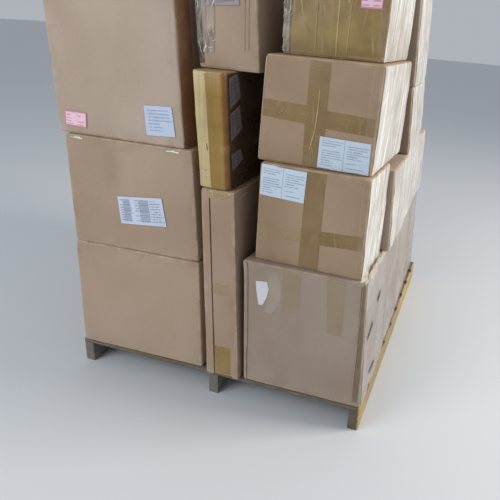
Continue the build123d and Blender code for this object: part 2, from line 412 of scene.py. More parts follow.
# Tape and film: thin glossy sheets, clear or tan, which the board shows through
tapeParts = ("light", "dark", "glint", "cover", "roughness", "size", "stretch", "ridge", "bump")
tapeFinish = {
    "tan": ((164, 136, 92), (152, 123, 78), (206, 180, 122), 0.5, 0.34, 16, (1, 1, 0.35), 0.3, 0.25),
    "faint": ((192, 170, 128), (182, 158, 116), (214, 196, 158), 0.16, 0.34, 16, (1, 1, 0.35), 0.2, 0.2),
    "pale": ((212, 188, 136), (194, 168, 116), (240, 228, 196), 0.4, 0.3, 30, (0.4, 1, 2.0), 0.6, 0.5),
    "gold": ((182, 154, 90), (162, 136, 74), (214, 194, 140), 0.42, 0.34, 22, (0.4, 1, 2.0), 0.25, 0.3),
    "clear": ((226, 204, 178), (214, 190, 162), (236, 226, 208), 0.08, 0.16, 12, (1, 1, 0.6), 0.0, 0.15),
    "crinkled": ((214, 204, 190), (158, 146, 130), (248, 246, 242), 0.28, 0.16, 64, (1, 1, 0.3), 1.0, 0.8),
    "shadowed": ((124, 110, 96), (78, 66, 54), (240, 236, 228), 0.6, 0.2, 64, (1, 1, 0.3), 1.0, 0.8),
    "gatheredWithGlint": ((246, 241, 230), (222, 208, 178), (253, 251, 247), 0.62, 0.14, 44, (1, 0.6, 1), 0.9, 0.8),
    "shade": ((150, 130, 108), (132, 112, 90), (196, 178, 150), 0.3, 0.3, 30, (1, 1, 0.2), 0.3, 0.3),
    "bright": ((240, 236, 228), (228, 220, 208), (250, 248, 244), 0.8, 0.14, 30, (1, 1, 1), 0.2, 0.2),
    "worn": ((206, 192, 172), (178, 160, 138), (226, 216, 198), 0.7, 0.5, 30, (1, 1, 0.2), 0.3, 0.4),
    "folded": ((190, 168, 142), (170, 146, 120), (200, 180, 156), 0.7, 0.4, 30, (1, 1, 0.3), 0.2, 0.2),
    "rust": ((208, 154, 114), (184, 130, 92), (222, 184, 150), 0.4, 0.35, 24, (1, 1, 0.15), 0.3, 0.3),
    "smear": ((96, 84, 90), (66, 56, 62), (130, 116, 120), 0.7, 0.5, 60, (1, 1, 1), 0.2, 0.2),
    "olive": ((164, 139, 88), (146, 119, 66), (216, 200, 154), 0.75, 0.3, 30, (1, 1, 0.14), 0.4, 0.5),
    "wrinkleHighlight": ((198, 172, 112), (182, 156, 98), (226, 208, 160), 0.85, 0.3, 30, (1, 1, 0.3), 0.4, 0.3),
    "residue": ((222, 214, 202), (206, 196, 184), (226, 220, 210), 0.12, 0.6, 30, (1, 1, 1), 0.1, 0.2),
}


def tapeMaterial(name, values):
    material, shader = newMaterial(name, **{"Specular IOR Level": 0.5})
    place = placeOf()
    crinkle = useGroup(crinkleGroup, {
        "Place": place, "Stretch": values["stretch"], "Size": values["size"],
    })
    drift = noise(place, 18, 4)
    tint = blend(spread(drift, 0.35, 0.65), values["light"], values["dark"])
    # the glint colour on the crinkle ridges is a painted highlight, and the sheet is made more opaque there
    lit = times(crinkle["Ridge"], spread(drift, 0.48, 0.62, 0.0, values["ridge"]))
    tint = blend(lit, tint, values["glint"])
    feed(tint, shader.inputs["Base Color"])
    if values["cover"] < 1:
        thick = spread(noise(place, 12, 3), 0.3, 0.7, values["cover"] * 0.8, values["cover"] * 1.2)
        feed(calc("MAXIMUM", thick, lit), shader.inputs["Alpha"])
    haze = spread(drift, 0.3, 0.7, values["roughness"] * 0.7, values["roughness"] * 1.5)
    feed(haze, shader.inputs["Roughness"])
    bumpOn(shader, crinkle["Height"], values["bump"], 0.0015)
    return material


tape = {}
for key, row in tapeFinish.items():
    tape[key] = tapeMaterial(key + "Tape", dict(zip(tapeParts, row)))
print("tape finishes built")

filmFinish = {
    "wrap": {"turn": (-0.6, 0.4, 0), "crinkle": (1, 0.12, 1.5), "streak": (12, 5, 120), "milkAndGlare": 0.0,
             "cover": (0.14, 0.34), "light": (226, 222, 220), "dark": (150, 140, 142)},
    # the side film is pale and milky as painted sunlight and glare
    "side": {"turn": (0.12, 0, 0), "crinkle": (1, 1.3, 0.2), "streak": (30, 42, 5), "milkAndGlare": 0.4,
             "cover": (0.26, 0.55), "light": (248, 245, 238), "dark": (226, 214, 198)},
}


def filmMaterial(name, values):
    # clear film: milky where it is creased, with streaks along the way that it is drawn; on the side film the
    # milk is painted sunlight and glare
    material, shader = newMaterial(name, Roughness=0.13, IOR=1.45)
    place = placeOf()
    slanted = scaled(place, (1, 1, 1), values["turn"])
    crinkle = useGroup(crinkleGroup, {"Place": slanted, "Stretch": values["crinkle"], "Size": 26.0})
    drift = noise(place, 5, 4)
    streak = noise(scaled(slanted, values["streak"]), 1.0, 4, 0.6, 0.4)
    tint = blend(spread(streak, 0.6, 0.74), values["light"], values["dark"])
    feed(tint, shader.inputs["Base Color"])
    # the crinkle ridges are made more opaque, so the pale film shows there as a painted glint
    lit = times(crinkle["Ridge"], spread(drift, 0.42, 0.65, 0.05, 0.35))
    cover = spread(drift, 0.35, 0.65, *values["cover"])
    cover = calc("MULTIPLY_ADD", spread(streak, 0.55, 0.72), 0.16, cover)
    cover = calc("MULTIPLY_ADD", spread(streak, 0.38, 0.7), values["milkAndGlare"], cover)
    feed(calc("ADD", cover, lit), shader.inputs["Alpha"])
    bumpOn(shader, crinkle["Height"], 0.5, 0.002)
    return material


wrapFilm = filmMaterial("wrapFilm", filmFinish["wrap"])
sunlitSideFilm = filmMaterial("sunlitSideFilm", filmFinish["side"])

# Cartons: each starts as a block of side 2, which takes its cuts and steps there and is then
# fitted to the eight corners of its own solid
cartonShape = {
    "cornerSearch": 0.008,   # how far the worn corner reaches, and the height that its search takes in
    "cuts": 11,
    "seam": 0.0015,          # half the gap between the two outer flaps
    "seamDepth": 0.0012,
    "board": 0.006,
    "flapShort": 0.0015,
    "step": 0.0004,
    "rounding": 0.0065,
    "roundingSteps": 3,
    "waviness": 0.004,
    "wavePatch": 0.17,
    "wallGive": 0.6,         # how much of the wave the walls take, and the top and base
    "endGive": 0.2,
    "bulgeUnit": 0.01,       # bulges are given in centimetres
    "crushReach": 0.05,
    "crush": 0.005,
    "footCrush": 0.5,        # the share of it at the four lower corners
    "crushSlope": 0.4,
    "flare": {},             # corners that stand out, and how far
    "extra": None,           # what else is cut into the block
}
waveTexture = cloudTexture("boardWave", cartonShape["wavePatch"])
sides = {"left": (0, -1), "right": (0, 1), "front": (1, -1), "rear": (1, 1), "top": (2, 1)}
signs = (-1, 1)


def nodeCorners(nodeName):
    points = [vertex.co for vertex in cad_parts[nodeName].data.vertices]
    low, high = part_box(nodeName)
    found = {}
    for level, sz in ((low.z, -1), (high.z, 1)):
        near = [p for p in points if abs(p.z - level) < cartonShape["cornerSearch"]]
        for sx in signs:
            for sy in signs:
                best = max(near, key=lambda p: sx * p.x + sy * p.y)
                around = [p for p in near if (p.xy - best.xy).length < cartonShape["cornerSearch"]]
                x = sx * max(sx * p.x for p in around)
                y = sy * max(sy * p.y for p in around)
                found[sx, sy, sz] = Vector((x, y, level))
    return found


def spotIn(corners, share):
    # the place in a carton of a point of the block of side 2
    spot = Vector((0, 0, 0))
    for sign, corner in corners.items():
        spot += corner * math.prod((1 + sign[a] * share[a]) / 2 for a in range(3))
    return spot


def halfSizes(corners):
    start = corners[-1, -1, -1]
    return [(corners[end] - start).length / 2 for end in ((1, -1, -1), (-1, 1, -1), (-1, -1, 1))]


def fullSizes(nodeName):
    return [part * 2 for part in halfSizes(nodeCorners(nodeName))]


def mapPanels(piece, half):
    # one map measures along each panel, and one measures in from its rims
    mesh = piece.data
    panel = mesh.uv_layers.new(name="panel")
    rim = mesh.uv_layers.new(name="rim")
    for face in mesh.polygons:
        axis = max(range(3), key=lambda a: abs(face.normal[a]))
        along = [a for a in range(3) if a != axis]
        for loop in face.loop_indices:
            share = mesh.vertices[mesh.loops[loop].vertex_index].co
            panel.data[loop].uv = [share[a] * half[a] for a in along]
            rim.data[loop].uv = [max(0, (1 - abs(share[a])) * half[a]) for a in along]


def weighSides(piece, bulges):
    # how much each vertex bulges, from nothing at a rim to all of it in mid panel
    bulge = piece.vertex_groups.new(name="bulge")
    give = piece.vertex_groups.new(name="give")
    for vertex in piece.data.vertices:
        share = vertex.co
        weight = 0
        for side, amount in bulges.items():
            axis, sign = sides[side]
            if abs(share[axis] - sign) < 0.01:
                others = [1 - share[a] ** 2 for a in range(3) if a != axis]
                weight = amount * others[0] * others[1]
        bulge.add([vertex.index], max(0, weight), "REPLACE")
        kind = "endGive" if abs(share[2]) > 0.99 else "wallGive"
        give.add([vertex.index], cartonShape[kind], "REPLACE")


def weighRims(piece):
    # only the twelve outer edges are rounded, and the cut ends of the flaps less
    mesh = piece.data
    weights = mesh.attributes.new("bevel_weight_edge", "FLOAT", "EDGE").data
    for edge in mesh.edges:
        ends = [mesh.vertices[index].co for index in edge.vertices]
        held = [
            a for a in range(3)
            if min(abs(end[a]) for end in ends) > 0.985 and ends[0][a] * ends[1][a] > 0
        ]
        weights[edge.index].value = 0 if len(held) < 2 else 0.8 if held == [1, 2] else 1


def layFlaps(piece, half):
    # two outer flaps meet along the middle, and stop a little short at the front and rear
    shape = cartonShape
    level = 1 - shape["board"] / half[2]
    step = shape["step"] / half[2]
    cutAcross(piece, 0, [-shape["seam"] / half[0], shape["seam"] / half[0]])
    cutAcross(piece, 2, [level, level - step, -level, step - level])
    for sign in signs:
        shift(
            piece, "VERT", lambda v: abs(v.co.x) < 1e-4 and v.co.z * sign > 0.999,
            (0, 0, -sign * shape["seamDepth"] / half[2]),
        )
        shift(
            piece, "VERT", lambda v: v.co.y * sign > 0.999 and abs(v.co.z) > level - 1e-5,
            (0, -sign * shape["flapShort"] / half[1], 0),
        )
    marks = piece.data.attributes.new("cutEdge", "FLOAT", "FACE").data
    for face in piece.data.polygons:
        if abs(face.normal.y) > 0.5 and abs(face.center.z) > level:
            marks[face.index].value = 1


def crushCorners(piece, corners, seed, shape):
    # each corner is pushed in by chance, and a flared one stands out
    chance = random.Random(seed)
    middle = sum(corners.values(), Vector()) / 8
    for sign, corner in corners.items():
        strength = chance.random() ** 2 * shape["crush"]
        if sign[2] < 0:
            strength *= shape["footCrush"]
        strength = shape["flare"].get(sign, strength)
        pull = (middle - corner).normalized()
        pull.z *= shape["crushSlope"]
        for vertex in piece.data.vertices:
            near = 1 - (vertex.co - corner).length / shape["crushReach"]
            if near > 0:
                vertex.co += pull * strength * near ** 2


def named(nodeName, kind):
    return nodeName.replace("carton", kind)


def blankCarton(nodeName, extra):
    corners = nodeCorners(nodeName)
    half = halfSizes(corners)
    piece = startFrom(bpy.ops.mesh.primitive_cube_add, 2, named(nodeName, "box"))
    pickAll(piece)
    bpy.ops.mesh.subdivide(number_cuts=cartonShape["cuts"])
    layFlaps(piece, half)
    if extra:
        extra(piece, half)
    return piece, corners, half


def makeCarton(nodeName, finish, bulges, apart=None):
    shape = {**cartonShape, **(apart or {})}
    piece, corners, half = blankCarton(nodeName, shape["extra"])
    mapPanels(piece, half)
    weighSides(piece, bulges)
    weighRims(piece)
    for vertex in piece.data.vertices:
        vertex.co = spotIn(corners, vertex.co)
    crushCorners(piece, corners, nodeName, shape)
    piece.data.update()
    applyModifier(piece, "DISPLACE", vertex_group="bulge", strength=shape["bulgeUnit"], mid_level=0)
    dent(piece, waveTexture, shape["waviness"], 0.5, "give")
    roundEdges(piece, shape, limit_method="WEIGHT", use_clamp_overlap=False)
    piece.vertex_groups.clear()
    settle(piece, kraft[finish], "kraft_board", nodeName)
    return piece


# The slim upright cartons: a slit beside the end flap, and a narrow hem at its foot
slimFlap = {"margin": 0.026, "slit": 0.005, "hem": 0.02, "hemLift": 0.01, "inward": 0.012}


def grooveEdges(half, start, width):
    return [place / half[0] - 1 for place in (start, start + width)]


def cutSlimFlap(piece, half):
    slit = grooveEdges(half, slimFlap["margin"], slimFlap["slit"])
    hem = 1 - slimFlap["hem"] / half[0]
    lift = slimFlap["hemLift"] / half[2] - 1
    cutAcross(piece, 0, slit + [hem])
    cutAcross(piece, 2, [lift])

    def recessed(face):
        place = face.center
        inSlit = slit[0] < place.x < slit[1]
        inHem = slit[1] < place.x < hem and place.z < lift
        return face.normal.y < -0.5 and (inSlit or inHem)
    shift(piece, "FACE", recessed, (0, slimFlap["inward"] / half[1], 0), extrude=True)


# The lowest carton on the right: the margin of its closing joint stands a little proud, and
# the joint's line steps sideways low down
lapJoint = {
    "margin": 0.014, "line": 0.0025, "inward": 0.003, "proud": 0.0015,
    "stepLevel": -0.35, "stepAside": 0.0035,
}


def cutLapJoint(piece, half):
    line = grooveEdges(half, lapJoint["margin"], lapJoint["line"])
    cutAcross(piece, 0, line)
    shift(
        piece, "VERT", lambda v: v.co.y < -0.99 and v.co.x < line[0] + 1e-4,
        (0, -lapJoint["proud"] / half[1], 0),
    )
    shift(
        piece, "FACE", lambda f: f.normal.y < -0.5 and line[0] < f.center.x < line[1],
        (0, lapJoint["inward"] / half[1], 0), extrude=True,
    )

    def onStep(vertex):
        x, y, z = vertex.co
        return z < lapJoint["stepLevel"] and y < -0.9 and line[0] - 1e-4 < x < line[1] + 1e-4
    shift(piece, "VERT", onStep, (-lapJoint["stepAside"] / half[0], 0, 0))


# Each carton's finish, the centimetres that its free sides bulge, and what else sets it apart
cartonLooks = {
    "carton_left_lower_front": ("plain", {"front": 0.3, "left": 0.3}),
    "carton_left_lower_rear": ("plain", {"left": 0.2}),
    "carton_left_middle_front": ("plain", {"front": 0.4, "left": 0.4}),
    "carton_left_middle_rear": ("plain", {"left": 0.4, "rear": 0.3}),
    "carton_left_upper_front": ("dusty", {"front": 0.4, "left": 0.5, "top": 0.2}),
    "carton_left_upper_rear": ("dusty", {"rear": 0.4, "left": 0.5, "top": 0.2}),
    "carton_slim_front": ("rosy", {}, {"extra": cutSlimFlap, "rounding": 0.003}),
    "carton_slim_rear": ("rosy", {"rear": 0.2}, {"rounding": 0.003}),
    "carton_cap_front": ("plain", {"front": 0.2, "top": 0.2}),
    "carton_cap_rear": ("dusty", {"rear": 0.2, "top": 0.2}),
    "carton_right_lower": ("grey", {"front": 0.2}, {
        "extra": cutLapJoint, "rounding": 0.006, "crush": 0.0025, "flare": {(-1, -1, 1): -0.005},
    }),
    "carton_right_second": ("brown", {"front": 0.4, "right": 0.3}),
    "carton_right_third": ("brown", {"front": 0.4, "right": 0.3}),
    "carton_right_top": ("brown", {"front": 0.3, "right": 0.3, "top": 0.2}),
    "carton_back_lower_1": ("grey", {}),
    "carton_back_lower_2": ("plain", {}),
    "carton_back_lower_3": ("grey", {}),
    "carton_back_second_1": ("dusty", {"right": 0.3}),
    "carton_back_second_2": ("plain", {"right": 0.4}),
    "carton_back_second_3": ("dusty", {"right": 0.3, "rear": 0.3}),
    "carton_back_third_1": ("plain", {"right": 0.3}),
    "carton_back_third_2": ("dusty", {"right": 0.3, "rear": 0.3}),
    "carton_back_top_1": ("dusty", {"right": 0.3, "top": 0.2}),
    "carton_back_top_2": ("plain", {"right": 0.3, "rear": 0.3, "top": 0.2}),
}
boxes = {nodeName: makeCarton(nodeName, *looks) for nodeName, looks in cartonLooks.items()}
print("cartons made:", len(boxes))

# Narrow cartons wound in tape: the solid's own shape, its facets softened and dented, and coloured by the way
# each faces, with painted light and shade
taped = {
    "rounding": 0.007, "roundingSteps": 3, "facetAngle": 8, "splits": 3, "dent": 0.004, "patch": 0.07,
    "turns": 9.0,            # turns of tape to the metre
    "tapeEdge": (120, 92, 48), "glint": (232, 218, 176),
}
# the left facet is paler, partly from paler tape layers and partly as painted light; the right side and the
# bevel are darker as painted shade
tapedFacetLightAndShade = {
    "left": (182, 164, 118), "front": (144, 112, 44), "right": (80, 60, 46),
    "bevel": (136, 92, 42), "other": (154, 128, 76),
}


def woundMaterial():
    material, shader = newMaterial("woundTape", **{"Specular IOR Level": 0.5})
    place = placeOf()
    facet = markOf("facetToneAndShade")["Color"]
    crinkle = useGroup(crinkleGroup, {"Place": place, "Stretch": (1, 1, 0.2), "Size": 24.0})
    level = splitUp(place)[2]
    layer = noise(scaled(place, (2, 2, 22)), 1.0, 2)
    tone = blend(1.0, facet, spread(layer, 0.3, 0.7, 0.94, 1.06), "MULTIPLY")
    streak = noise(scaled(place, (150, 90, 5)), 1.0, 4, 0.6)
    tone = blend(1.0, tone, spread(streak, 0.3, 0.7, 0.86, 1.12), "MULTIPLY")
    edge = calc("FRACT", calc("MULTIPLY_ADD", level, taped["turns"], times(layer, 0.3)))
    edge = spread(edge, 0.0, 0.03, 0.12, 0.0)
    tone = blend(edge, tone, taped["tapeEdge"])
    # a painted highlight along the crinkle ridges
    lit = times(crinkle["Ridge"], spread(layer, 0.55, 0.75, 0.0, 0.14))
    tone = blend(lit, tone, taped["glint"])
    feed(tone, shader.inputs["Base Color"])
    feed(spread(layer, 0.3, 0.7, 0.22, 0.42), shader.inputs["Roughness"])
    bumpOn(shader, crinkle["Height"], 0.35, 0.0014)
    return material


def makeTaped(nodeName, material):
    workOn(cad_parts[nodeName])
    bpy.ops.object.duplicate()
    piece = bpy.context.object
    piece.name = named(nodeName, "box")
    pickAll(piece)
    bpy.ops.mesh.remove_doubles(threshold=1e-5)
    bpy.ops.mesh.dissolve_limited(angle_limit=math.radians(1))
    bpy.ops.object.mode_set(mode="OBJECT")
    colours = piece.data.attributes.new("facetToneAndShade", "FLOAT_COLOR", "FACE").data
    for face in piece.data.polygons:
        x, y, z = face.normal
        name = "other"
        if abs(z) < 0.5:
            if y > -0.3:
                name = "right" if x > 0.5 else "other"
            else:
                name = "left" if x < -0.1 else "bevel" if x > 0.3 else "front"
        colours[face.index].color = colour(*tapedFacetLightAndShade[name])
    roundEdges(piece, taped, limit_method="ANGLE", angle_limit=math.radians(taped["facetAngle"]))
    pickAll(piece)
    bpy.ops.mesh.quads_convert_to_tris()
    for _ in range(taped["splits"]):
        bpy.ops.mesh.subdivide(number_cuts=1)
    bpy.ops.object.mode_set(mode="OBJECT")
    dent(piece, cloudTexture("tapedDent", taped["patch"]), taped["dent"], 0.6)
    settle(piece, material, "taped_board", nodeName)
    return piece


wound = woundMaterial()
for nodeName in [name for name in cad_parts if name.startswith("carton_taped")]:
    boxes[nodeName] = makeTaped(nodeName, wound)
print("taped cartons made")


# Tape, labels and film lie on the board: a sheet is drawn over a carton and shrunk on to it
def creaseSheet(piece, creases):
    # pushes a sheet out in sharp folds, drawn out along one way
    for vertex in piece.data.vertices:
        spot = Vector([part * scale for part, scale in zip(vertex.co, creases["scale"])])
        fold = 1 - abs(creaseNoise.noise(spot)) * 2.4
        fine = creaseNoise.noise(spot * 3.1) * 0.3
        vertex.co += vertex.normal * creases["height"] * max(0, fold + fine)
    piece.data.update()


def sheetOver(
    name, rows, cuts, material, slotName, target=None, lift=0.0004, thickness=0.0002, creases=None,
):
    # rows are the sheet's cross edges, each a pair of points, in order along it
    piece = startFrom(bpy.ops.mesh.primitive_plane_add, 2, name)
    for vertex in piece.data.vertices:
        vertex.co = rows[0 if vertex.co.x < 0 else 1][0 if vertex.co.y < 0 else 1]
    last = rows[1]
    for row in rows[2:]:
        ends = [Vector(end) for end in last]
        pick(piece, "VERT", lambda v: min((v.co - end).length for end in ends) < 1e-5)
        bpy.ops.mesh.extrude_region_move()
        bpy.ops.object.mode_set(mode="OBJECT")
        for vertex in [v for v in piece.data.vertices if v.select]:
            vertex.co = row[0] if (vertex.co - ends[0]).length < 1e-5 else row[1]
        last = row
    pickAll(piece)
    bpy.ops.mesh.subdivide(number_cuts=cuts)
    bpy.ops.object.mode_set(mode="OBJECT")
    if target:
        applyModifier(
            piece, "SHRINKWRAP", target=target, wrap_method="NEAREST_SURFACEPOINT",
            wrap_mode="ABOVE_SURFACE", offset=lift,
        )
        if creases:
            creaseSheet(piece, creases)
        applyModifier(piece, "SOLIDIFY", thickness=thickness, offset=0)
        settle(piece, material, slotName)
    return piece


outward = {"front": ("x", "z", "y", 0), "right": ("y", "z", "x", 1)}


def placeOn(nodeName, side, first, second):
    # a point beside a carton, from two of its places in metres and the side that it lies on
    along, up, across, end = outward[side]
    spot = Vector((0, 0, 0))
    setattr(spot, along, first)
    setattr(spot, up, second)
    setattr(spot, across, getattr(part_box(nodeName)[end], across))
    return spot


def sheetOn(name, nodeName, quad, material, lift=0.0004, side="front", cuts=15, creases=None):
    # the quad is the sheet's top left, top right, bottom right and bottom left, in millimetres
    corners = [placeOn(nodeName, side, a / 1000, b / 1000) for a, b in quad]
    rows = [[corners[3], corners[0]], [corners[2], corners[1]]]
    return sheetOver(name, rows, cuts, material, "kraft_board", boxes[nodeName], lift, creases=creases)


def bandOver(
    kind, nodeName, axis, low, high, path, material, cuts=7, lift=0.0004, creases=None,
    slotName="kraft_board",
):
    # a strip across one axis of a carton, along a path through its other two, in metres
    # from its low corner
    name = named(nodeName, kind)
    corners = nodeCorners(nodeName)
    half = halfSizes(corners)
    others = [a for a in range(3) if a != axis]
    rows = []
    for stop in path:
        row = []
        for side in (low, high):
            share = [0, 0, 0]
            share[axis] = side / half[axis] - 1
            for a, value in zip(others, stop):
                share[a] = value / half[a] - 1
            row.append(spotIn(corners, share))
        rows.append(row)
    return sheetOver(name, rows, cuts, material, slotName, boxes[nodeName], lift, creases=creases)


seamTape = {"width": 0.058, "hang": 0.065, "turn": 0.005}


def tapeSeam(nodeName, finish):
    # over the seam of the top flaps, and down a little at both ends
    wide, deep, tall = fullSizes(nodeName)
    turn, hang = seamTape["turn"], seamTape["hang"]
    path = [
        (0, tall - hang), (0, tall - turn), (0, tall), (turn, tall),
        (deep - turn, tall), (deep, tall), (deep, tall - turn), (deep, tall - hang),
    ]
    low, high = (wide - seamTape["width"]) / 2, (wide + seamTape["width"]) / 2
    bandOver("seam_tape", nodeName, 0, low, high, path, tape[finish])


untaped = ("carton_slim", "carton_right", "carton_left_lower_front", "carton_left_middle_front")
for nodeName in cartonLooks:
    if not nodeName.startswith(untaped):
        onFront = nodeName == "carton_left_upper_front"
        tapeSeam(nodeName, "clear" if onFront else "tan")
print("seams taped")

# Tape and film laid on single sides, as the photograph shows it: each sheet's corners in millimetres,
# its finish, how far it stands off, its side and cuts where they aren't the usual ones, and its folds
laidSheets = [
    ("carton_right_second", {
        "tape_cross_second_left": (((130, 630), (274, 635), (272, 593), (128, 586)), "faint", 0.0006),
        "tape_cross_second_right": (((328, 637), (449, 641), (449, 600), (328, 595)), "tan"),
        "tape_cross_second_upright": (((276, 803), (332, 803), (326, 512), (266, 512)), "tan", 0.0008),
    }),
    ("carton_right_third", {
        "tape_cross_third_left": (((122, 972), (267, 967), (264, 920), (118, 927)), "tan"),
        "tape_cross_third_right": (((306, 961), (450, 953), (450, 908), (304, 915)), "tan"),
        "tape_cross_third_upright": (((261, 1083), (317, 1083), (311, 806), (253, 806)), "tan", 0.0008),
    }),
    ("carton_right_lower", {
        "tape_hanging_lower_left": (((227, 509), (285, 509), (285, 375), (229, 369)), "faint", 0.0008),
        "tape_hanging_lower_right": (((361, 509), (417, 509), (420, 326), (373, 328)), "faint", 0.0008),
        # a darker strip down the front right edge: tape with painted shade
        "tape_and_shade_corner_lower": (((462, 505), (488, 505), (488, 90), (474, 90)), "shade", 0.0006),
    }),
    ("carton_slim_front", {
        "tape_slim_crease": (((-2, 711), (66, 722), (69, 699), (1, 688)), "pale"),
        "tape_slim_faint": (((11, 421), (64, 425), (66, 388), (14, 384)), "faint"),
        "tape_slim_foot": (((12, 199), (68, 199), (70, 99), (15, 98)), "gold"),
    }),
    ("carton_right_third", {
        "tape_third_edge": (((122, 1078), (138, 1078), (121, 808), (108, 808)), "worn", 0.0008),
    }),
    ("carton_cap_front", {
        "film_cap_corner": (
            ((-76, 1334), (-12, 1334), (-17, 1070), (-72, 1070)), "crinkled", 0.001, "front", 31,
            {"height": 0.003, "scale": (70, 40, 26)},
        ),
        "film_cap_edge": (
            ((-77, 1334), (-62, 1334), (-48, 1042), (-62, 1042)), "shadowed", 0.0016, "front", 15,
            {"height": 0.002, "scale": (90, 40, 30)},
        ),
    }),
    ("carton_right_top", {
        "film_top_edge": (
            ((158, 1334), (186, 1334), (182, 1090), (158, 1090)), "crinkled", 0.0014, "front", 31,
            {"height": 0.003, "scale": (90, 40, 40)},
        ),
    }),
    ("carton_left_upper_front", {
        # a reddish tape band down the front of the side, its warmth partly painted warm bounce light
        "tape_upper_side": (((-584, 1272), (-505, 1272), (-505, 814), (-584, 814)), "rust", 0.0004, "right"),
    }),
    ("carton_slim_front", {
        # pale lines painted as glints on creases in the film
        "film_fold_one": (((-586, 688), (-470, 711), (-470, 708), (-586, 684)), "worn", 0.0012, "right", 7),
        "film_fold_two": (((-566, 676), (-430, 703), (-430, 700), (-566, 673)), "worn", 0.0012, "right", 7),
        "film_fold_three": (((-590, 704), (-540, 694), (-540, 692), (-590, 701)), "worn", 0.0012, "right", 7),
    }),
    ("carton_right_lower", {
        # dark slanted strips under the film, painted as the shadows of creases in the film
        "mark_high": (((-370, 393), (-372, 376), (-409, 358), (-410, 376)), "smear", 0.0032, "right", 5),
        "mark_middle": (((-478, 333), (-480, 318), (-553, 298), (-552, 312)), "smear", 0.0032, "right", 5),
        "mark_low": (((-413, 148), (-414, 134), (-491, 139), (-490, 153)), "smear", 0.0032, "right", 5),
    }),
    ("carton_right_top", {
        "tape_top_left": (((162, 1336), (306, 1336), (306, 1086), (160, 1086)), "olive"),
        "tape_top_right": (((303, 1336), (438, 1336), (440, 1086), (303, 1086)), "olive", 0.0008),
    }),
]
for nodeName, sheets in laidSheets:
    for name, (quad, finish, *apart) in sheets.items():
        sheetOn(name, nodeName, quad, tape[finish], *apart)

# Clear layers on the right sides, and how far some are drawn round the front edge; their pale milky film is
# painted sunlight and glare on these sides
sideLayers = {"carton_right_second": 0.022, "carton_right_third": 0.03, "carton_right_top": 0.02}
behind = ("carton_back_second", "carton_back_t")
sideLayers.update({name: 0 for name in cartonLooks if name.startswith(behind)})
sideSheet = {"margin": 0.003, "roundLift": 0.0014, "creases": {"height": 0.002, "scale": (30, 60, 9)}}
for nodeName, wrap in sideLayers.items():
    wide, deep, tall = fullSizes(nodeName)
    turn = seamTape["turn"]
    low, high = sideSheet["margin"], tall - sideSheet["margin"]
    if wrap:
        around = [(wide - wrap, 0), (wide - turn, 0), (wide, 0), (wide, turn)]
        lift = sideSheet["roundLift"]
        bandOver("tape_round", nodeName, 2, low, high, around, tape["clear"], lift=lift)
    along = [(wide, turn), (wide, deep / 2), (wide, deep - turn)]
    bandOver(
        "film_side", nodeName, 2, low, high, along, sunlitSideFilm, cuts=31 if wrap else 15,
        creases=sideSheet["creases"], slotName="stretch_film",
    )

# Wrinkles pinched up in the tape, each a thin raised line: its points, its width in millimetres and its
# finish; the usual finish and the bright ones are painted paler, as highlights along the wrinkle
pinches = [
    ("carton_right_third", {
        "third_down": (((292, 1010), (290, 960), (285, 905), (272, 852)), 2.5),
        "third_foot": (((276, 850), (277, 808)), 1.5),
        "third_arm": (((198, 958), (190, 946), (178, 936)), 1.2),
        "third_arm_cross": (((182, 956), (188, 948), (198, 938)), 1),
        "third_arm_long": (((130, 950), (148, 948), (168, 945)), 1),
    }),
    ("carton_right_top", {
        "top_seam": (((312, 1336), (311, 1210), (310, 1088)), 3),
        "top_right": (((346, 1336), (342, 1200), (338, 1088)), 1.5),
        "top_left": (((252, 1336), (254, 1210), (253, 1088)), 1.5),
        "top_edge": (((168, 1330), (164, 1210), (166, 1092)), 1.5),
    }),
    ("carton_left_upper_front", {
        "upper_low": (((-88, 835), (-66, 833), (-44, 832)), 1.5, "bright"),
        "upper_side": (((-45, 834), (-47, 1000), (-49, 1150)), 1, "worn"),
    }),
    ("carton_cap_front", {
        "cap_fold_one": (((66, 1336), (69, 1210), (70, 1084)), 1.5, "folded"),
        "cap_fold_two": (((78, 1336), (80, 1210), (81, 1084)), 1.5, "folded"),
    }),
    ("carton_left_middle_front", {
        "middle_glint_left": (((-457, 801), (-436, 800), (-416, 798)), 4, "bright"),
        "middle_glint_right": (((-142, 798), (-122, 799), (-103, 797)), 4, "bright"),
    }),
    ("carton_left_lower_front", {
        "lower_glint": (((-437, 459), (-418, 459), (-399, 458)), 1.5, "worn"),
    }),
    ("carton_cap_front", {
        "cap_low": (((-44, 1086), (-32, 1083), (-17, 1085)), 1.5, "bright"),
    }),
    ("carton_slim_front", {
        "slim_top": (((2, 690), (36, 697), (68, 700)), 2),
    }),
    ("carton_taped_1", {
        "taped_left": (((-50, 1022), (-32, 1020), (-13, 1019)), 2, "bright"),
        "taped_top": (((-10, 1023), (14, 1026), (38, 1025)), 1.5, "pale"),
        "taped_low": (((-40, 770), (-26, 767), (-8, 765)), 1.2, "pale"),
        "taped_mark": (((-8, 840), (-6, 832), (-6, 822)), 1.5, "smear"),
    }),
    ("carton_right_lower", {
        "lower_edge": (((467, 500), (469, 300), (470, 92)), 1),
    }),
]
wrinkle = {"cuts": 3, "lift": 0.0016, "thickness": 0.0008}


def pinchUp(name, nodeName, points, width, finish="wrinkleHighlight"):
    rows = []
    for place, (x, z) in enumerate(points):
        before, after = points[max(0, place - 1)], points[min(len(points) - 1, place + 1)]
        run = Vector((after[0] - before[0], after[1] - before[1])).normalized() * width / 2
        rows.append([
            placeOn(nodeName, "front", (x - run.y) / 1000, (z + run.x) / 1000),
            placeOn(nodeName, "front", (x + run.y) / 1000, (z - run.x) / 1000),
        ])
    sheetOver(
        "wrinkle_" + name, rows, wrinkle["cuts"], tape[finish], "kraft_board", boxes[nodeName],
        wrinkle["lift"], wrinkle["thickness"],
    )


for nodeName, lines in pinches:
    for name, values in lines.items():
        pinchUp(name, nodeName, *values)
print("tape laid")


def band(value, low, high, soft=0.01):
    # 1 between two places and 0 outside them
    return times(spread(value, low, low + soft), spread(value, high, high + soft, 1, 0))


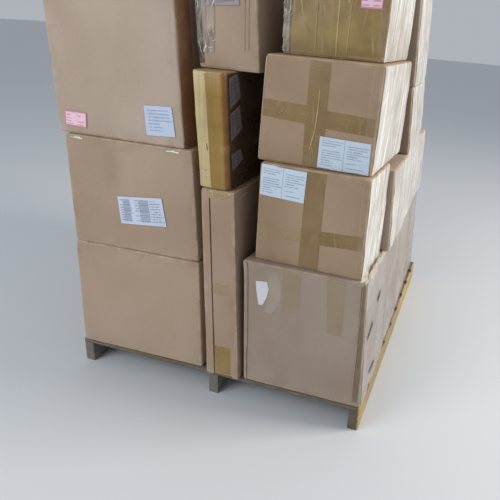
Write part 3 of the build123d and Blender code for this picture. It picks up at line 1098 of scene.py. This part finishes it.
# Label paper with faint generic rows, and bars on one kind
def labelMaterial(name, paper, ink, rowsUp, columns, bars=0.0, rule=0.0, fold=0.0):
    material, shader = newMaterial(name, Roughness=0.5, **{"Specular IOR Level": 0.4})
    across, up, _ = splitUp(mapOf("UVMap"))

    def joined(*parts):
        return addNode("ShaderNodeCombineXYZ", dict(enumerate(parts))).outputs[0]
    steps, cells = times(up, rowsUp), times(across, columns)
    row, cell = calc("FLOOR", steps), calc("FLOOR", cells)
    kind = addNode("ShaderNodeTexWhiteNoise", {"Vector": joined(cell, row)}).outputs[0]
    words = noise(joined(times(across, 60), times(row, 7.3)), 1.0, 1)
    inCell = calc("FRACT", cells)
    length = spread(kind, 0.0, 1.0, 0.45, 0.95)
    height = band(up, 0.1, 0.9)
    mark = times(
        band(calc("FRACT", steps), 0.4, 0.75, 0.1), spread(words, 0.38, 0.46),
        spread(inCell, 0.1, 0.12), calc("LESS_THAN", inCell, length),
        calc("GREATER_THAN", kind, 0.18), height,
    )
    if bars:
        bar = spread(noise(joined(times(up, 90)), 1.0, 1), 0.46, 0.5)
        zone = calc("ADD", band(across, 0.1, 0.26), band(across, 0.46, 0.68))
        mark = times(mark, calc("SUBTRACT", 1.0, zone))
        mark = calc("MAXIMUM", mark, times(bar, zone, height, bars))
    soil = noise(placeOf(), 16, 4)
    soiled = tuple(part * 0.86 for part in paper)
    sheet = blend(spread(soil, 0.5, 0.8, 0, 0.4), paper, soiled)
    if rule:
        # a printed rule close inside all four edges
        inset = [calc("ABSOLUTE", calc("SUBTRACT", part, 0.5)) for part in (across, up)]
        inset = [calc("SUBTRACT", 0.5, part) for part in inset]
        nearest = calc("MINIMUM", inset[0], times(inset[1], 0.6))
        mark = calc("MAXIMUM", mark, spread(nearest, rule, rule * 1.4, 1, 0))
    if fold:
        # a fold down the middle of the sheet, painted as a darker line of shade along the crease
        line = calc("ABSOLUTE", calc("SUBTRACT", across, 0.5))
        line = spread(line, 0.0, 0.014, fold, 0.0)
        sheet = blend(line, sheet, tuple(part * 0.7 for part in paper))
    sheet = blend(times(mark, 0.72), sheet, ink)
    feed(sheet, shader.inputs["Base Color"])
    bumpOn(shader, soil, 0.25, 0.001)
    return material


papers = {
    "letter": labelMaterial("letterPaper", (194, 208, 222), (96, 112, 130), 13, 2, fold=0.7),
    "note": labelMaterial("notePaper", (188, 200, 222), (120, 134, 158), 9, 1),
    "barred": labelMaterial("barredPaper", (198, 206, 224), (72, 82, 102), 11, 3, 1.0),
    "pink": labelMaterial("pinkPaper", (230, 196, 208), (190, 92, 124), 5, 2, rule=0.035),
    "plain": labelMaterial("tornPaper", (206, 206, 210), (196, 196, 200), 1, 1),
    "dull": labelMaterial("dullPaper", (150, 142, 146), (84, 74, 70), 8, 2, 0.8),
    # labels on the taped carton's dark side: paper and ink painted dark as shade
    "dim": labelMaterial("dimPaper", (122, 114, 114), (66, 56, 52), 8, 2, 0.8),
}
paperLabels = {
    "sheet_second": ("carton_right_second", ((142, 799), (277, 796), (273, 709), (138, 713)), "letter"),
    "sheet_third": ("carton_right_third", ((301, 894), (440, 891), (440, 808), (297, 809)), "letter"),
    "label_middle": (
        "carton_left_middle_front", ((-311, 639), (-163, 654), (-151, 566), (-305, 553)), "barred",
    ),
    "label_upper": ("carton_left_upper_front", ((-210, 917), (-125, 921), (-116, 839), (-206, 834)), "note"),
    "label_pink": ("carton_left_upper_front", ((-475, 874), (-401, 873), (-406, 829), (-478, 831)), "pink"),
    "label_top": ("carton_right_top", ((365, 1262), (420, 1266), (420, 1207), (365, 1207)), "pink"),
    "label_cap": ("carton_cap_front", ((-76, 1235), (50, 1240), (55, 1191), (-70, 1183)), "dull"),
    "label_taped_high": (
        "carton_taped_1", ((-592, 1014), (-544, 1026), (-524, 962), (-592, 936)), "dim", "right",
    ),
    "label_taped_middle": (
        "carton_taped_1", ((-592, 924), (-534, 941), (-519, 876), (-590, 851)), "dim", "right",
    ),
    "label_taped_low": (
        "carton_taped_1", ((-591, 814), (-536, 822), (-522, 790), (-586, 769)), "dim", "right",
    ),
}
paperSheet = {"cuts": 9, "lift": 0.002}
for name, (nodeName, quad, paper, *side) in paperLabels.items():
    sheetOn(name, nodeName, quad, papers[paper], paperSheet["lift"], *side, cuts=paperSheet["cuts"])

# The torn sticker and the paler patch that it left: rows go down, from the left edge to the right
tornShapes = {
    "sticker_torn": (papers["plain"], 0.001, (
        ((144, 451), (180, 455)), ((146, 426), (186, 430)), ((150, 400), (180, 402)),
        ((155, 374), (168, 375)),
    )),
    "tape_residue": (tape["residue"], 0.0008, (
        ((178, 494), (208, 490)), ((182, 474), (219, 470)), ((185, 450), (225, 444)),
        ((186, 424), (226, 416)), ((184, 398), (221, 390)), ((180, 372), (209, 366)),
        ((172, 354), (190, 350)),
    )),
}
nodeName = "carton_right_lower"
for name, (sheet, lift, rows) in tornShapes.items():
    rows = [[placeOn(nodeName, "front", a / 1000, b / 1000) for a, b in row] for row in rows]
    sheetOver(name, rows, 5, sheet, "kraft_board", boxes[nodeName], lift)
print("labels laid")

# Pallet timber, sawn and weathered, with split ends
timber = {
    "slices": (24, 4, 3), "rough": 0.0025, "bedGive": 0.25, "patch": 0.06,
    "rounding": 0.002, "roundingSteps": 2, "edgeAngle": 50,
    "grey": (112, 108, 102), "crack": (58, 48, 38), "sunlitTones": ((224, 194, 134), (178, 148, 98)),
    "sawnFace": 0.497,       # where the painted sunlight on the right faces begins
}
roughTexture = cloudTexture("sawnFace", timber["patch"])


def woodMaterial(name, along, light, dark):
    material, shader = newMaterial(name, Roughness=0.78, **{"Specular IOR Level": 0.25})
    place = placeOf()
    stretch = (1.1, 26, 26) if along == "x" else (26, 1.1, 26)
    grain = noise(scaled(place, stretch), 4, 5, 0.62, 1.5)
    fine = noise(scaled(place, tuple(part * 6 for part in stretch)), 4, 3)
    drift = noise(place, 3.0, 4)
    wood = blend(spread(grain, 0.3, 0.7), light, dark)
    wood = blend(spread(drift, 0.42, 0.6, 0, 0.85), wood, timber["grey"])
    wood = blend(1.0, wood, spread(fine, 0.3, 0.7, 0.8, 1.12), "MULTIPLY")
    crack = spread(noise(scaled(place, tuple(part * 2.2 for part in stretch)), 3, 2), 0.66, 0.7)
    wood = blend(times(crack, 0.6), wood, timber["crack"])
    # the outer faces on the right are painted yellower and lighter, as sunlight on them
    paintedSun = blend(spread(grain, 0.3, 0.7), *timber["sunlitTones"])
    side = spread(splitUp(place)[0], timber["sawnFace"] - 0.003, timber["sawnFace"])
    side = times(side, spread(drift, 0.3, 0.65, 0.9, 0.5))
    wood = blend(side, wood, paintedSun)
    feed(wood, shader.inputs["Base Color"])
    height = calc("MULTIPLY_ADD", crack, -1.5, calc("ADD", grain, fine))
    bumpOn(shader, height, 0.6, 0.002)
    return material


woods = {
    # deck boards dark partly from weathering and partly as painted shade under the overhanging cartons; the
    # right-hand runner is painted darker than the others as shade
    "deck_board": woodMaterial("boardWood", "x", (126, 112, 92), (94, 84, 70)),
    "stringer_right": woodMaterial("darkRunnerWood", "y", (110, 98, 84), (84, 75, 64)),
    "stringer": woodMaterial("greyRunnerWood", "y", (150, 143, 128), (120, 112, 98)),
}


def makeTimber(nodeName, material):
    low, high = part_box(nodeName)
    name = nodeName.replace("stringer", "runner").replace("deck_board", "slat")
    piece = startFrom(bpy.ops.mesh.primitive_cube_add, 1, name)
    pickAll(piece)
    bpy.ops.transform.resize(value=high - low)
    bpy.ops.transform.translate(value=(low + high) / 2)
    bpy.ops.object.mode_set(mode="OBJECT")
    size = high - low
    long = 0 if size.x > size.y else 1
    for axis, slices in zip((long, 1 - long, 2), timber["slices"]):
        cutAcross(piece, axis, [low[axis] + size[axis] * step / slices for step in range(1, slices)])
    give = piece.vertex_groups.new(name="give")
    for vertex in piece.data.vertices:
        onBed = vertex.co.z < low.z + 1e-4 or vertex.co.z > high.z - 1e-4
        give.add([vertex.index], timber["bedGive"] if onBed else 1, "REPLACE")
    dent(piece, roughTexture, timber["rough"], 0.6, "give")
    roundEdges(piece, timber, limit_method="ANGLE", angle_limit=math.radians(timber["edgeAngle"]))
    piece.vertex_groups.clear()
    settle(piece, material, "pallet_wood", nodeName)


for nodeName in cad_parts:
    kinds = [kind for kind in woods if nodeName.startswith(kind)]
    if kinds:
        makeTimber(nodeName, woods[kinds[0]])
print("pallet made")

# Stretch film, drawn tight round the bottom layer
filmShape = {
    "clear": 0.0008, "thickness": 0.0003, "cuts": 47, "margin": 0.012, "lap": 0.11,
    "start": 0.3, "near": 0.03,
    "creases": {"height": 0.0016, "scale": (14, 14, 45)},
    "lip": {
        "down": 0.028, "over": 0.02, "ends": (0.004, 0.002), "lift": 0.002, "cuts": 11,
        "creases": {"height": 0.005, "scale": (44, 44, 44)},
    },
}


def clearBoxes(piece, axis):
    # the film goes round what it wraps: where a carton would stand through it, it moves out
    around = [box for name, box in boxes.items() if "lower" in name]
    inward = Vector((0, 0, 0))
    inward[axis] = -1
    for vertex in piece.data.vertices:
        start = vertex.co - inward * filmShape["start"]
        for box in around:
            hit, spot, _, _ = box.ray_cast(start, inward)
            if hit and abs(spot[axis] - vertex.co[axis]) < filmShape["near"]:
                vertex.co[axis] = max(vertex.co[axis], spot[axis] + filmShape["clear"])


def makeFilm():
    first = nodeCorners("carton_right_lower")
    last = nodeCorners("carton_back_lower_3")
    low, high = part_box("stretch_film")
    clear = filmShape["clear"]

    def levelled(foot, head, shiftBy):
        row = []
        for level in (low.z, high.z):
            share = (level - foot.z) / (head.z - foot.z)
            row.append(foot.lerp(head, share) + Vector(shiftBy))
        return row

    start = levelled(first[1, -1, -1], first[1, -1, 1], (clear, filmShape["margin"], 0))
    corner = levelled(last[1, 1, -1], last[1, 1, 1], (clear, clear, 0))
    rear = [Vector((low.x, high.y, level)) for level in (low.z, high.z)]
    lapEnd = [Vector((low.x, high.y - filmShape["lap"], level)) for level in (low.z, high.z)]
    piece = sheetOver("wrap_film", [start, corner, rear, lapEnd], filmShape["cuts"], None, None)
    clearBoxes(piece, 0)
    clearBoxes(piece, 1)
    piece.data.update()
    creaseSheet(piece, filmShape["creases"])
    applyModifier(piece, "SOLIDIFY", thickness=filmShape["thickness"], offset=0)
    settle(piece, wrapFilm, "stretch_film", "stretch_film")


def gatherLip(nodeName):
    # the film's upper edge, gathered over the top edge of a carton, its bright white partly a painted glint
    wide, deep, tall = fullSizes(nodeName)
    lip = filmShape["lip"]
    turn = seamTape["turn"]
    path = [
        (wide, tall - lip["down"]), (wide, tall - turn), (wide, tall), (wide - turn, tall),
        (wide - lip["over"], tall),
    ]
    bandOver(
        "film_lip", nodeName, 1, lip["ends"][0], deep - lip["ends"][1], path, tape["gatheredWithGlint"],
        cuts=lip["cuts"], lift=lip["lift"], creases=lip["creases"], slotName="stretch_film",
    )


makeFilm()
for nodeName in boxes:
    if nodeName.startswith(("carton_right_lower", "carton_back_lower")):
        gatherLip(nodeName)
print("film drawn")

# Floor and light
stageValues = {"floorSize": 60.0, "floor": (206, 210, 214), "sky": (226, 232, 240), "skyStrength": 0.56}
floor = startFrom(bpy.ops.mesh.primitive_plane_add, stageValues["floorSize"], "floor")
floorMaterial, floorShader = newMaterial("paleFloor", Roughness=0.6)
floorShader.inputs["Base Color"].default_value = colour(*stageValues["floor"])
floor.data.materials.append(floorMaterial)

world = bpy.data.worlds.new("softRoom")
bpy.context.scene.world = world
world.use_nodes = True
background = world.node_tree.nodes["Background"]
background.inputs["Color"].default_value = colour(*stageValues["sky"])
background.inputs["Strength"].default_value = stageValues["skyStrength"]

lamps = {
    "keyLamp": {"place": (3.6, 0.6, 2.8), "size": 1.6, "power": 140, "tint": (1.0, 0.95, 0.88)},
    "fillLamp": {"place": (-2.2, -3.6, 2.4), "size": 2.6, "power": 96, "tint": (0.96, 0.98, 1.0)},
}
middle = (cadBounds[0] + cadBounds[1]) / 2
for name, values in lamps.items():
    bpy.ops.object.light_add(type="AREA", location=values["place"])
    lamp = bpy.context.object
    lamp.name = name
    lamp.data.size = values["size"]
    lamp.data.energy = values["power"]
    lamp.data.color = values["tint"]
    lamp.rotation_euler = (middle - lamp.location).to_track_quat("-Z", "Y").to_euler()

# Camera, where the photograph was taken from
cameraValues = {
    "place": (0.6959, -1.8773, 1.156),
    "azimuth": 14.26,
    "elevation": 22.83,
    "roll": 5.01,
    "focal": 519.6,          # in pixels of the picture
    "aim": (333.4, 247.9),   # the lens axis in the picture, from its left and top
    "picture": 500,
    "sensor": 36.0,
}


def addCamera(values):
    azimuth, elevation, roll = (math.radians(values[key]) for key in ("azimuth", "elevation", "roll"))
    forward = Vector((
        -math.sin(azimuth) * math.cos(elevation),
        math.cos(azimuth) * math.cos(elevation),
        -math.sin(elevation),
    ))
    level = Vector((math.cos(azimuth), math.sin(azimuth), 0))
    up = level.cross(forward)
    right = level * math.cos(roll) + up * math.sin(roll)
    above = up * math.cos(roll) - level * math.sin(roll)
    bpy.ops.object.camera_add()
    camera = bpy.context.object
    turned = Matrix((right, above, -forward)).transposed().to_4x4()
    camera.matrix_world = Matrix.Translation(values["place"]) @ turned
    camera.data.sensor_width = values["sensor"]
    camera.data.lens = values["focal"] / values["picture"] * values["sensor"]
    camera.data.shift_x = 0.5 - values["aim"][0] / values["picture"]
    camera.data.shift_y = values["aim"][1] / values["picture"] - 0.5
    bpy.context.scene.camera = camera


addCamera(cameraValues)
bpy.context.scene.view_settings.view_transform = "Standard"

print("scene ready")
